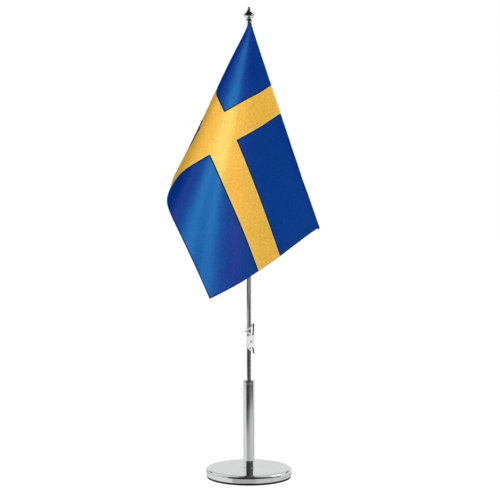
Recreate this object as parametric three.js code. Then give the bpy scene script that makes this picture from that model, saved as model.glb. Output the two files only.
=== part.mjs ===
// Desk flag stand: a chrome base with a socket tube, a thin chrome pole with a finial and a
// cord cleat, and a table flag that hangs from a loose ring under the finial.
// Units are millimetres, +Z is up. The origin is the centre of the base's underside, and the
// viewer's side is -Y. The flag hangs towards -Y with its fold towards -X.
import * as THREE from 'three';

// ---- Driving dimensions -------------------------------------------------------------------

// Base: a spun chrome cover over an iron weight, on a felt pad
const BASE_RADIUS = 38.4;
const BASE_HEIGHT = 8.5;
const BASE_BEAD = 2.6;
const COVER_WALL = 0.9;
const PAD_THICKNESS = 1.7;
const PAD_INSET = 0.6;
const WEIGHT_CLEARANCE = 0.3;

// Screw that pulls the socket tube down on to the base
const SCREW_RADIUS = 2.0;
const SCREW_HEAD_RADIUS = 4.0;
const SCREW_HEAD_HEIGHT = 2.4;
const SCREW_LENGTH = 13.0;
const WASHER_RADIUS = 5.5;
const WASHER_THICKNESS = 0.8;
const SCREW_HOLE_RADIUS = 2.4;

// Socket tube with its plug, collar and nylon liner
const TUBE_RADIUS = 5.0;
const TUBE_WALL = 1.2;
const SOCKET_TOP = 87.8;
const COLLAR_HEIGHT = 2.8;
const COLLAR_SPIGOT = 4.0;
const PLUG_HEIGHT = 12.0;
const LINER_WALL = 1.05;

// Pole, from inside the socket to the finial
const POLE_RADIUS = 2.1;
const POLE_BOTTOM = 22.0;
const POLE_TOP = 409.6;
const OVERALL_HEIGHT = 420.0;
const FINIAL_RADIUS = 4.75;
const FINIAL_FOOT_RADIUS = 2.4;
const FINIAL_FOOT_LIFT = 0.2;
const FINIAL_BELLY_RISE = 2.3;
const FINIAL_NECK_RADIUS = 0.75;
const FINIAL_BORE_DEPTH = 3.0;
const STUD_RADIUS = 0.9;
const STUD_DEPTH = 7.0;
const STUD_RISE = 2.7;

// Cleat: a bent wire held off the pole's +X side by a rivet
const CLEAT_WIRE_RADIUS = 0.62;
const CLEAT_OFFSET = 4.3;
const CLEAT_WAIST = 3.4;
const CLEAT_CENTRE_Z = 122.0;
const CLEAT_UPPER_REACH = 16.0;
const CLEAT_LOWER_REACH = 10.4;
const RIVET_RADIUS = 0.8;
const RIVET_POLE_GAP = 0.02;
const RIVET_WIRE_GAP = 0.15;

// Cord
const CORD_RADIUS = 0.5;
const CORD_TOP_DROP = 5.2;
const HITCH_TURNS = 7;
const HITCH_PITCH = 1.3;
const HITCH_SLACK_X = 0.9;
const HITCH_SLACK_Y = 0.5;

// Ring under the finial that the flag's cord hangs from
const RING_OUTER = 2.85;
const RING_INNER = 2.4;
const RING_HEIGHT = 1.2;
const EYE_RADIUS = 0.85;
const EYE_WIRE = 0.28;
const EYE_REACH = 2.75;

// Flag: ten units high at the hoist, sixteen units long
const FLAG_UNIT = 13.0;
const FLAG_HOIST = 10 * FLAG_UNIT;
const FLAG_LENGTH = 16 * FLAG_UNIT;
const CLOTH_THICKNESS = 0.6;
const CLOTH_INSET = 1.0;
const CORNER_CUT = 5.0;
const SLEEVE_RADIUS = 1.15;
const SLEEVE_BORE = 0.85;
const SLEEVE_TOP_DROP = 9.0;

// The running clearance between pieces that move, or that are seated in one another
const GAP = 0.3;

// The smaller clearances: a pressed fit, the pole in its collar, and the cover above the pad
const PRESS_FIT = 0.05;
const POLE_CLEARANCE = 0.4;
const COVER_LIFT = 0.2;

// Top corner of the flag at the hoist: the cloth hangs from here as a cone
const CORNER = new THREE.Vector3(1.9, -3.3, 404.6);

// The cord and the sleeve hang beside the corner, on the free side of the cloth
const CORD_OFFSET_X = 1.3;
const CORD_OFFSET_Y = -0.9;

// Section of the hanging cloth one unit below the corner, from the hoist, round the back
// bulge and the left-hand fold, across the front and out to the free top edge
const DRAPE_SECTION = [
  [0.0, 0.0],
  [-0.277, 0.029],
  [-0.483, 0.075],
  [-0.502, -0.059],
  [-0.438, -0.234],
  [-0.039, -0.3],
  [0.305, -0.605],
  [0.329, -0.585],
];
const DRAPE_STEPS = 112;

// ---- Materials ----------------------------------------------------------------------------

const metalFinish = (color, roughness) =>
  new THREE.MeshStandardMaterial({ color, roughness, metalness: 1.0 });
const plainFinish = (color, roughness) =>
  new THREE.MeshStandardMaterial({ color, roughness, metalness: 0.0 });

const chrome = () => metalFinish(0xd8dadd, 0.08);
const zincSteel = () => metalFinish(0x9a9da0, 0.4);
const castIron = () => metalFinish(0x4a4a4c, 0.7);
const blackFelt = () => plainFinish(0x151515, 0.95);
const whiteNylon = () => plainFinish(0xe9e7e0, 0.5);
const whiteCord = () => plainFinish(0xf2f2f0, 0.85);
const blueSatin = () => plainFinish(0x10509a, 0.55);
const blueTape = () => plainFinish(0x0d4488, 0.7);

// ---- Shape helpers ------------------------------------------------------------------------

const RADIAL_STEPS = 32;
const BASE_STEPS = 64;
const SMALL_STEPS = 16;

// A solid turned about the Z axis from an outline of [radius, z] points
function turned(outline, steps = RADIAL_STEPS) {
  const points = outline.map(([radius, z]) => new THREE.Vector2(radius, z));
  const geometry = new THREE.LatheGeometry(points, steps);
  geometry.rotateX(Math.PI / 2);
  return geometry;
}

// A turned ring or tube with a rectangular section
function hollow(inner, outer, low, high, steps = RADIAL_STEPS) {
  return turned([[inner, low], [outer, low], [outer, high], [inner, high], [inner, low]], steps);
}

// Points of a quarter circle in the outline plane, from one angle to another
function quarterArc(centreRadius, centreZ, radius, fromAngle, toAngle, count = 3) {
  const points = [];
  for (let i = 0; i <= count; i += 1) {
    const angle = THREE.MathUtils.lerp(fromAngle, toAngle, i / count);
    points.push([centreRadius + radius * Math.cos(angle), centreZ + radius * Math.sin(angle)]);
  }
  return points;
}

// A round rod that follows a curve, closed at both ends, with eight sides
function rodAlong(curve, radius, steps) {
  const section = new THREE.Shape();
  section.absarc(0, 0, radius, 0, 2 * Math.PI);
  return new THREE.ExtrudeGeometry(section, {
    steps,
    curveSegments: 4,
    bevelEnabled: false,
    extrudePath: curve,
  });
}

const smoothCurve = (points) =>
  new THREE.CatmullRomCurve3(points.map(([x, y, z]) => new THREE.Vector3(x, y, z)), false,
    'catmullrom', 0.5);

// ---- Base ---------------------------------------------------------------------------------

const coverInside = BASE_RADIUS - COVER_WALL;
const coverCeiling = BASE_HEIGHT - COVER_WALL;
const coverRim = PAD_THICKNESS + COVER_LIFT;
const weightTop = coverCeiling - GAP;
const screwSeat = PAD_THICKNESS + GAP + SCREW_HEAD_HEIGHT;
const washerTop = screwSeat + WASHER_THICKNESS;

function baseCover() {
  const beadCentre = BASE_RADIUS - BASE_BEAD;
  return turned([
    [coverInside, coverRim],
    [BASE_RADIUS, coverRim],
    ...quarterArc(beadCentre, BASE_HEIGHT - BASE_BEAD, BASE_BEAD, 0, Math.PI / 2),
    [SCREW_HOLE_RADIUS, BASE_HEIGHT],
    [SCREW_HOLE_RADIUS, coverCeiling],
    ...quarterArc(beadCentre, BASE_HEIGHT - BASE_BEAD, BASE_BEAD - COVER_WALL, Math.PI / 2, 0),
    [coverInside, coverRim],
  ], BASE_STEPS);
}

function baseWeight() {
  const counterbore = WASHER_RADIUS + 2 * GAP;
  const outer = coverInside - WEIGHT_CLEARANCE;
  const chamfer = BASE_BEAD - COVER_WALL;
  return turned([
    [counterbore, PAD_THICKNESS],
    [outer, PAD_THICKNESS],
    [outer, weightTop - chamfer],
    [outer - chamfer, weightTop],
    [SCREW_HOLE_RADIUS, weightTop],
    [SCREW_HOLE_RADIUS, washerTop],
    [counterbore, washerTop],
    [counterbore, PAD_THICKNESS],
  ], BASE_STEPS);
}

function basePad() {
  const radius = BASE_RADIUS - PAD_INSET;
  return turned([[0, 0], [radius, 0], [radius, PAD_THICKNESS], [0, PAD_THICKNESS]], BASE_STEPS);
}

function baseScrew() {
  const headLow = screwSeat - SCREW_HEAD_HEIGHT;
  const crown = 0.8;
  return turned([
    [0, headLow],
    [SCREW_HEAD_RADIUS - crown, headLow],
    [SCREW_HEAD_RADIUS, headLow + crown],
    [SCREW_HEAD_RADIUS, screwSeat],
    [SCREW_RADIUS, screwSeat],
    [SCREW_RADIUS, screwSeat + SCREW_LENGTH],
    [0, screwSeat + SCREW_LENGTH],
  ]);
}

// ---- Socket -------------------------------------------------------------------------------

const tubeInside = TUBE_RADIUS - TUBE_WALL;
const collarBottom = SOCKET_TOP - COLLAR_HEIGHT;
const poleHoleRadius = POLE_RADIUS + POLE_CLEARANCE;

function tubePlug() {
  const radius = tubeInside - PRESS_FIT;
  return hollow(SCREW_HOLE_RADIUS, radius, BASE_HEIGHT, BASE_HEIGHT + PLUG_HEIGHT);
}

// The collar caps the tube: a rounded shoulder above, a spigot inside the tube below
function tubeCollar() {
  const shoulder = 0.7;
  const spigotRadius = tubeInside - PRESS_FIT;
  return turned([
    [poleHoleRadius, collarBottom - COLLAR_SPIGOT],
    [spigotRadius, collarBottom - COLLAR_SPIGOT],
    [spigotRadius, collarBottom],
    [TUBE_RADIUS, collarBottom],
    ...quarterArc(TUBE_RADIUS - shoulder, SOCKET_TOP - shoulder, shoulder, 0, Math.PI / 2),
    [poleHoleRadius, SOCKET_TOP],
    [poleHoleRadius, collarBottom - COLLAR_SPIGOT],
  ]);
}

function socketLiner() {
  const outer = tubeInside - GAP;
  const low = BASE_HEIGHT + PLUG_HEIGHT + GAP;
  const high = collarBottom - COLLAR_SPIGOT - GAP;
  return hollow(outer - LINER_WALL, outer, low, high);
}

// ---- Pole, finial and cleat ---------------------------------------------------------------

function poleRod() {
  const tipBevel = 0.5;
  const studHole = STUD_RADIUS + GAP;
  return turned([
    [0, POLE_BOTTOM],
    [POLE_RADIUS - tipBevel, POLE_BOTTOM],
    [POLE_RADIUS, POLE_BOTTOM + tipBevel],
    [POLE_RADIUS, POLE_TOP],
    [studHole, POLE_TOP],
    [studHole, POLE_TOP - STUD_DEPTH - GAP],
    [0, POLE_TOP - STUD_DEPTH - GAP],
  ]);
}

// An onion-shaped finial: a short foot, a full round belly and a flare up to a slim tip
function finialKnob() {
  const foot = POLE_TOP + FINIAL_FOOT_LIFT;
  const belly = POLE_TOP + FINIAL_BELLY_RISE;
  const studHole = STUD_RADIUS + GAP;
  const flare = new THREE.CubicBezierCurve(
    new THREE.Vector2(FINIAL_RADIUS - 0.35, belly + 1.0),
    new THREE.Vector2(FINIAL_RADIUS * 0.5, belly + 2.6),
    new THREE.Vector2(1.0, belly + 3.4),
    new THREE.Vector2(FINIAL_NECK_RADIUS, OVERALL_HEIGHT - 1.2),
  );
  return turned([
    [0, POLE_TOP + FINIAL_BORE_DEPTH],
    [studHole, POLE_TOP + FINIAL_BORE_DEPTH],
    [studHole, foot],
    [FINIAL_FOOT_RADIUS, foot],
    [3.6, foot + 0.5],
    [4.5, belly - 0.9],
    [FINIAL_RADIUS, belly],
    ...flare.getPoints(8).map(({ x, y }) => [x, y]),
    [0.55, OVERALL_HEIGHT - 0.3],
    [0, OVERALL_HEIGHT],
  ]);
}

function finialStud() {
  return turned([
    [0, POLE_TOP - STUD_DEPTH],
    [STUD_RADIUS, POLE_TOP - STUD_DEPTH],
    [STUD_RADIUS, POLE_TOP + STUD_RISE],
    [0, POLE_TOP + STUD_RISE],
  ], SMALL_STEPS);
}

function cleatBar() {
  const top = CLEAT_CENTRE_Z + CLEAT_UPPER_REACH;
  const bottom = CLEAT_CENTRE_Z - CLEAT_LOWER_REACH;
  return rodAlong(smoothCurve([
    [CLEAT_OFFSET, 0, top],
    [CLEAT_OFFSET - 0.2, 0, top - 6],
    [CLEAT_WAIST, 0, CLEAT_CENTRE_Z + 3],
    [CLEAT_WAIST, 0, CLEAT_CENTRE_Z - 4],
    [CLEAT_OFFSET - 0.2, 0, bottom + 4],
    [CLEAT_OFFSET, 0, bottom],
  ]), CLEAT_WIRE_RADIUS, 24);
}

// The rivet bridges the space between the pole and the cleat
function cleatRivet() {
  const start = POLE_RADIUS + RIVET_POLE_GAP;
  const end = CLEAT_WAIST - CLEAT_WIRE_RADIUS - RIVET_WIRE_GAP;
  const geometry = new THREE.CylinderGeometry(RIVET_RADIUS, RIVET_RADIUS, end - start, SMALL_STEPS);
  geometry.rotateZ(Math.PI / 2);
  geometry.translate((start + end) / 2, 0, CLEAT_CENTRE_Z);
  return geometry;
}

// ---- Cord ---------------------------------------------------------------------------------

// The cord runs straight down inside the flag's sleeve, goes round to the back of the pole
// below the flag, and drops to the cleat
const cordX = CORNER.x + CORD_OFFSET_X;
const cordY = CORNER.y + CORD_OFFSET_Y;
const cordReach = Math.hypot(cordX, cordY);
const cordAngle = Math.atan2(cordY, cordX);
const BACK_ANGLE = Math.PI / 2;
const CORD_TURN_TOP = 214.0;
const CORD_TURN_BOTTOM = 186.0;
const backReach = POLE_RADIUS + POLE_CLEARANCE + CORD_RADIUS;

// Centre of the cord where it goes round the pole, at a fraction of the turn
function cordTurnPoint(fraction) {
  const ease = fraction * fraction * (3 - 2 * fraction);
  const angle = THREE.MathUtils.lerp(cordAngle, BACK_ANGLE, ease);
  const reach = THREE.MathUtils.lerp(cordReach, backReach, ease);
  const z = THREE.MathUtils.lerp(CORD_TURN_TOP, CORD_TURN_BOTTOM, fraction);
  return [reach * Math.cos(angle), reach * Math.sin(angle), z];
}

const hitchHigh = CLEAT_CENTRE_Z + (HITCH_TURNS * HITCH_PITCH) / 2;

function halyardUpper() {
  const points = [
    [cordX, cordY, POLE_TOP - CORD_TOP_DROP],
    [cordX, cordY, 300],
    [cordX, cordY, 240],
  ];
  for (let i = 0; i <= 6; i += 1) {
    points.push(cordTurnPoint(i / 6));
  }
  points.push([0, backReach, CORD_TURN_BOTTOM - 6]);
  return rodAlong(smoothCurve(points), CORD_RADIUS, 40);
}

function halyardLower() {
  const top = CORD_TURN_BOTTOM - 6 - GAP;
  return rodAlong(smoothCurve([
    [0, backReach, top],
    [0, backReach, 160],
    [0, backReach, hitchHigh + CORD_RADIUS + 2 * GAP],
  ]), CORD_RADIUS, 6);
}

// The cord's end is wound round the pole and the cleat's waist together
function cordHitch() {
  const reachX = POLE_RADIUS + GAP + CORD_RADIUS;
  const farX = CLEAT_WAIST + CLEAT_WIRE_RADIUS + GAP + CORD_RADIUS;
  const centreX = (farX - reachX) / 2;
  const radiusX = (farX + reachX) / 2 + HITCH_SLACK_X;
  const radiusY = reachX + HITCH_SLACK_Y;
  class Winding extends THREE.Curve {
    getPoint(t, target = new THREE.Vector3()) {
      const angle = 2 * Math.PI * HITCH_TURNS * t;
      const z = hitchHigh - HITCH_TURNS * HITCH_PITCH * t;
      return target.set(centreX + radiusX * Math.cos(angle), radiusY * Math.sin(angle), z);
    }
  }
  return rodAlong(new Winding(), CORD_RADIUS, HITCH_TURNS * SMALL_STEPS);
}

// ---- Ring under the finial ----------------------------------------------------------------

const ringTop = POLE_TOP - GAP;
const ringBottom = ringTop - RING_HEIGHT;

function truckRing() {
  const round = 0.25;
  return turned([
    [RING_INNER, ringBottom],
    [RING_OUTER - round, ringBottom],
    [RING_OUTER, ringBottom + round],
    [RING_OUTER, ringTop - round],
    [RING_OUTER - round, ringTop],
    [RING_INNER, ringTop],
    [RING_INNER, ringBottom],
  ]);
}

// A wire eye below the ring, that the cord is tied to
function truckEye() {
  const geometry = new THREE.TorusGeometry(EYE_RADIUS, EYE_WIRE, 8, SMALL_STEPS);
  geometry.rotateX(Math.PI / 2);
  geometry.rotateY(Math.PI / 2);
  geometry.rotateZ(cordAngle + Math.PI / 2);
  const x = EYE_REACH * Math.cos(cordAngle);
  const y = EYE_REACH * Math.sin(cordAngle);
  geometry.translate(x, y, ringBottom - EYE_RADIUS - EYE_WIRE);
  return geometry;
}

// ---- Flag ---------------------------------------------------------------------------------

// Straight lines of the hanging cloth, each a unit vector from the corner, with the angle
// that the line makes with the hoist when the cloth is laid flat
function drapeRulings() {
  const curve = smoothCurve(DRAPE_SECTION.map(([x, y]) => [x, y, -1]));
  const directions = curve.getPoints(DRAPE_STEPS).map((point) => point.normalize());
  const angles = [0];
  for (let i = 1; i < directions.length; i += 1) {
    angles.push(angles[i - 1] + directions[i].angleTo(directions[i - 1]));
  }
  const scale = Math.PI / 2 / angles[angles.length - 1];
  return { directions, angles: angles.map((angle) => angle * scale) };
}

const rulings = drapeRulings();

// Direction of the cloth's straight line at a flat angle from the hoist
function rulingAt(angle) {
  const { directions, angles } = rulings;
  let i = 1;
  while (i < angles.length - 1 && angles[i] < angle) {
    i += 1;
  }
  const part = (angle - angles[i - 1]) / (angles[i] - angles[i - 1]);
  return directions[i - 1].clone().lerp(directions[i], part).normalize();
}

function rulingNormal(angle) {
  const step = 0.01;
  const before = rulingAt(Math.max(angle - step, 0));
  const after = rulingAt(Math.min(angle + step, Math.PI / 2));
  return after.clone().sub(before).cross(rulingAt(angle)).normalize();
}

// Flat angles of the cloth's straight lines, with one that meets the corner at the bottom fly
function clothAngles() {
  const hoistAngle = CLOTH_INSET / FLAG_HOIST;
  const flyAngle = Math.atan2(FLAG_LENGTH, FLAG_HOIST);
  const below = 38;
  const above = 22;
  const angles = [];
  for (let i = 0; i < below; i += 1) {
    angles.push(THREE.MathUtils.lerp(hoistAngle, flyAngle, i / below));
  }
  for (let i = 0; i <= above; i += 1) {
    angles.push(THREE.MathUtils.lerp(flyAngle, Math.PI / 2, i / above));
  }
  return angles;
}

// The cloth as a grid of points: across from the hoist to the top edge, and out from the
// corner to the fly. Its thickness fades towards the corner, where the cloth is gathered.
function flagCloth() {
  const out = 6;
  const fullThicknessAt = 18;
  const positions = [];
  const indices = [];
  const angles = clothAngles();
  const across = angles.length - 1;
  angles.forEach((angle, i) => {
    const end = Math.min(FLAG_LENGTH / Math.sin(angle), FLAG_HOIST / Math.cos(angle));
    const ruling = rulingAt(angle);
    const normal = rulingNormal(angle);
    const start = i === 0 ? SLEEVE_TOP_DROP : CORNER_CUT;
    for (let j = 0; j <= out; j += 1) {
      const distance = start + (end - start) * (j / out) ** 1.6;
      const half = (CLOTH_THICKNESS / 2) * Math.min(1, distance / fullThicknessAt);
      for (const side of [half, -half]) {
        const point = CORNER.clone().addScaledVector(ruling, distance);
        positions.push(...point.addScaledVector(normal, side).toArray());
      }
    }
  });
  const at = (i, j, side) => 2 * (i * (out + 1) + j) + side;
  const quad = (a, b, c, d) => indices.push(a, b, c, a, c, d);
  for (let i = 0; i < across; i += 1) {
    for (let j = 0; j < out; j += 1) {
      quad(at(i, j, 0), at(i + 1, j, 0), at(i + 1, j + 1, 0), at(i, j + 1, 0));
      quad(at(i, j, 1), at(i, j + 1, 1), at(i + 1, j + 1, 1), at(i + 1, j, 1));
    }
    quad(at(i, 0, 1), at(i + 1, 0, 1), at(i + 1, 0, 0), at(i, 0, 0));
    quad(at(i, out, 0), at(i + 1, out, 0), at(i + 1, out, 1), at(i, out, 1));
  }
  for (let j = 0; j < out; j += 1) {
    quad(at(0, j, 0), at(0, j + 1, 0), at(0, j + 1, 1), at(0, j, 1));
    quad(at(across, j, 1), at(across, j + 1, 1), at(across, j + 1, 0), at(across, j, 0));
  }
  const geometry = new THREE.BufferGeometry();
  geometry.setAttribute('position', new THREE.Float32BufferAttribute(positions, 3));
  geometry.setIndex(indices);
  return geometry;
}

// A sewn sleeve along the hoist, with the cord running through it
function hoistSleeve() {
  const top = CORNER.z - SLEEVE_TOP_DROP;
  const bottom = CORNER.z - FLAG_HOIST;
  const geometry = hollow(SLEEVE_BORE, SLEEVE_RADIUS, bottom, top, SMALL_STEPS);
  geometry.translate(cordX, cordY, 0);
  return geometry;
}

// ---- Assembly -----------------------------------------------------------------------------

function piece(name, geometry, material) {
  const mesh = new THREE.Mesh(geometry, material);
  mesh.name = name;
  return mesh;
}

const base = new THREE.Group();
base.add(piece('base_pad', basePad(), blackFelt()));
base.add(piece('base_weight', baseWeight(), castIron()));
base.add(piece('base_cover', baseCover(), chrome()));
base.add(piece('base_screw', baseScrew(), zincSteel()));
base.add(piece('base_washer',
  hollow(SCREW_HOLE_RADIUS, WASHER_RADIUS, screwSeat, washerTop), zincSteel()));
base.add(piece('socket_tube',
  hollow(tubeInside, TUBE_RADIUS, BASE_HEIGHT, collarBottom), chrome()));
base.add(piece('tube_plug', tubePlug(), zincSteel()));
base.add(piece('tube_collar', tubeCollar(), chrome()));

const liner = new THREE.Group();
liner.add(piece('socket_liner', socketLiner(), whiteNylon()));

const pole = new THREE.Group();
pole.add(piece('pole_rod', poleRod(), chrome()));
pole.add(piece('finial_knob', finialKnob(), chrome()));
pole.add(piece('finial_stud', finialStud(), zincSteel()));
pole.add(piece('cleat_bar', cleatBar(), chrome()));
pole.add(piece('cleat_rivet', cleatRivet(), chrome()));
pole.add(piece('cord_hitch', cordHitch(), whiteCord()));
pole.add(piece('halyard_lower', halyardLower(), whiteCord()));

const truck = new THREE.Group();
truck.add(piece('truck_ring', truckRing(), chrome()));
truck.add(piece('truck_eye', truckEye(), chrome()));
truck.add(piece('halyard_upper', halyardUpper(), whiteCord()));

const flag = new THREE.Group();
flag.add(piece('flag_cloth', flagCloth(), blueSatin()));
flag.add(piece('hoist_sleeve', hoistSleeve(), blueTape()));

truck.add(flag);
pole.add(truck);
const stand = new THREE.Group();
stand.add(base, liner, pole);

export default stand;
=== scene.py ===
import math

import bmesh
import bpy
import numpy as np
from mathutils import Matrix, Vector


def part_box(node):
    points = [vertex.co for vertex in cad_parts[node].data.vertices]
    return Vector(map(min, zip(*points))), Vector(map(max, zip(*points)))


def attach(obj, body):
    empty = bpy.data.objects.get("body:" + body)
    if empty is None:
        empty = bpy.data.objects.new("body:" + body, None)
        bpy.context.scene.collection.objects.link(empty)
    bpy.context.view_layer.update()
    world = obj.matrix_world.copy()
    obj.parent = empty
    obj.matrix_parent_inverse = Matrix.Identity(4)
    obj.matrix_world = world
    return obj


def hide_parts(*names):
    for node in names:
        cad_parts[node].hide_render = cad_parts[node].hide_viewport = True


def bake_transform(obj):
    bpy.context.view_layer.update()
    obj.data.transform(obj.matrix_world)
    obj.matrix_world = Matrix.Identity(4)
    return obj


# A desk flag stand: satin table flag, thin chrome pole with a finial and a cord cleat, and a
# socket tube on a round chrome base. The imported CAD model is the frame, and the fine meshes
# here stand for its visible nodes. Shapes are worked out in millimetres and made in metres.
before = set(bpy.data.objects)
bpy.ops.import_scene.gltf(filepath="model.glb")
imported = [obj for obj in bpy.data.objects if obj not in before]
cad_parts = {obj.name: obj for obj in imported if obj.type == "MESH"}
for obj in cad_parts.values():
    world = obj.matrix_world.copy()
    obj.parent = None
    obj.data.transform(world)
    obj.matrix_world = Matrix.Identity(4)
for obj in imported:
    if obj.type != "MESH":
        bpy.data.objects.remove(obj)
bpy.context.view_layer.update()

MM = 0.001
TAU = 2 * math.pi


def node_size(node):
    """A CAD node's lowest and highest corners, in millimetres."""
    low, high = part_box(node)
    return low / MM, high / MM


# ---- Sizes that several pieces share, in millimetres ----------------------------------------

TUBE_RADIUS = node_size("socket_tube")[1].x
TUBE_BORE = TUBE_RADIUS - 1.2
TUBE_LIP = 0.18                     # rounding of the tube's ends, which makes the joint line
STUD_BORE = 1.2
SUPPORT = 0.25          # a ring this close to a rounded edge keeps the long faces flat

CORD_RADIUS = 0.52
HITCH_CORD_RADIUS = 0.62            # the cord is slack and fuller where it is wound
CORD_LAY = 2.6                      # length of one turn of the cord's twist
CLEAT_WIRE_RADIUS = 0.68
CLEAT_STANDOFF = 0.75               # from the rivet's head to the wire's middle

FLAG_UNIT = 13.0                    # a tenth of the flag's height
HOIST = 10 * FLAG_UNIT
LENGTH = 16 * FLAG_UNIT
CROSS_U = (4.9 * FLAG_UNIT, 7.1 * FLAG_UNIT)    # officially 5 to 7; a little wider here
CROSS_V = (4.0 * FLAG_UNIT, 6.0 * FLAG_UNIT)
CLOTH_THICKNESS = 0.24
CLOTH_STEP = 1.3                    # side of the cloth mesh's squares
HEM_START = 0.5                     # the sheet starts this far from the hoist's seam
CORNER_CUT = 0.5                    # the sheet's top corner is cut off at this distance


# ---- Mesh helpers --------------------------------------------------------------------------

def finish_mesh(name, bm, sharp_angle=35):
    """Makes an object from a bmesh in millimetres, smooth except at sharp edges."""
    bmesh.ops.recalc_face_normals(bm, faces=bm.faces)
    bmesh.ops.scale(bm, vec=(MM, MM, MM), verts=bm.verts)
    mesh = bpy.data.meshes.new(name)
    bm.to_mesh(mesh)
    bm.free()
    mesh.shade_smooth()
    mesh.set_sharp_from_angle(angle=math.radians(sharp_angle))
    piece = bpy.data.objects.new(name, mesh)
    bpy.context.scene.collection.objects.link(piece)
    return piece


def ring_of(bm, radius, z, steps):
    """A ring of vertices about the Z axis, or one vertex where the outline meets the axis."""
    if radius < 1e-6:
        return [bm.verts.new((0, 0, z))]
    angles = [TAU * i / steps for i in range(steps)]
    return [bm.verts.new((radius * math.cos(a), radius * math.sin(a), z)) for a in angles]


def bridge(bm, first, second):
    """Joins two closed rings of vertices with faces; a ring may be a single vertex."""
    steps = max(len(first), len(second))
    for i in range(steps):
        j = (i + 1) % steps
        corners = [first[i % len(first)], first[j % len(first)],
                   second[j % len(second)], second[i % len(second)]]
        corners = list(dict.fromkeys(corners))
        if len(corners) > 2:
            bm.faces.new(corners)


def turned(name, outline, steps=96, sharp_angle=35):
    """A solid turned about Z from (radius, z) points. An outline off the axis closes itself."""
    bm = bmesh.new()
    rings = [ring_of(bm, radius, z, steps) for radius, z in outline]
    if len(rings[0]) > 1:
        rings.append(rings[0])
    for first, second in zip(rings, rings[1:]):
        bridge(bm, first, second)
    return finish_mesh(name, bm, sharp_angle)


def arc(centre, radius, start, end, count=8):
    """Points of an arc in the outline plane; angles in degrees."""
    angles = [math.radians(start + (end - start) * i / count) for i in range(count + 1)]
    return [(centre[0] + radius * math.cos(a), centre[1] + radius * math.sin(a)) for a in angles]


def smooth_path(points, step):
    """An even walk along a smooth curve through the points."""
    knots = np.array(points, float)
    ends = np.vstack([2 * knots[0] - knots[1], knots, 2 * knots[-1] - knots[-2]])
    t = np.linspace(0, 1, 40, endpoint=False)[:, None]
    fine = []
    for a, b, c, d in zip(ends, ends[1:], ends[2:], ends[3:]):
        fine.append(0.5 * (2 * b + (c - a) * t + (2 * a - 5 * b + 4 * c - d) * t ** 2
                           + (3 * b - a - 3 * c + d) * t ** 3))
    fine = np.vstack(fine + [knots[-1:]])
    return even_path(fine, step)


def even_path(fine, step):
    """The same line walked in even steps."""
    lengths = np.concatenate([[0], np.cumsum(np.linalg.norm(np.diff(fine, axis=0), axis=1))])
    count = max(2, round(lengths[-1] / step))
    walk = np.linspace(0, lengths[-1], count + 1)
    return np.column_stack([np.interp(walk, lengths, fine[:, k]) for k in range(3)])


def swept(name, path, section, sharp_angle=60):
    """A closed solid along a path. section(i, distance) gives the outline's (across, up)
    points at path point i, in a frame that doesn't twist."""
    end_dome = 0.15
    bm = bmesh.new()
    tangents = np.gradient(path, axis=0)
    tangents /= np.linalg.norm(tangents, axis=1)[:, None]
    steep = abs(tangents[0][2]) >= 0.9
    across = np.cross(tangents[0], (1, 0, 0) if steep else (0.31, 0.17, 0.93))
    distance = 0.0
    rings = []
    for i, (point, tangent) in enumerate(zip(path, tangents)):
        across = across - tangent * (across @ tangent)
        across /= np.linalg.norm(across)
        up = np.cross(tangent, across)
        if i:
            distance += np.linalg.norm(point - path[i - 1])
        outline = section(i, distance)
        rings.append([bm.verts.new(point + a * across + b * up) for a, b in outline])
    for first, second in zip(rings, rings[1:]):
        bridge(bm, first, second)
    for ring, point, side in ((rings[0], path[0], -1), (rings[-1], path[-1], 1)):
        tip = bm.verts.new(point + side * end_dome * tangents[0 if side < 0 else -1])
        bridge(bm, ring, [tip])
    return finish_mesh(name, bm, sharp_angle)


def wire(name, path, radius, sides=16, tip=0.6):
    """A round wire with domed ends."""
    least = 0.04
    lengths = np.concatenate([[0], np.cumsum(np.linalg.norm(np.diff(path, axis=0), axis=1))])

    def section(i, distance):
        near_end = min(lengths[i], lengths[-1] - lengths[i])
        dome = math.sqrt(max(least, 1 - max(0, 1 - near_end / tip) ** 2))
        angles = [TAU * k / sides for k in range(sides)]
        return [(radius * dome * math.cos(a), radius * dome * math.sin(a)) for a in angles]

    return swept(name, path, section)


def cord(name, path, radius, sides=15):
    """A cord of three strands: a three-lobed section that twists along the path."""
    valley, lobe = 0.86, 0.14

    def section(i, distance):
        turn = TAU * distance / CORD_LAY
        outline = []
        for k in range(sides):
            a = TAU * k / sides
            reach = radius * (valley + lobe * abs(math.cos(1.5 * (a - turn))))
            outline.append((reach * math.cos(a), reach * math.sin(a)))
        return outline

    return swept(name, path, section, sharp_angle=80)


# ---- Material helpers ----------------------------------------------------------------------

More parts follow.
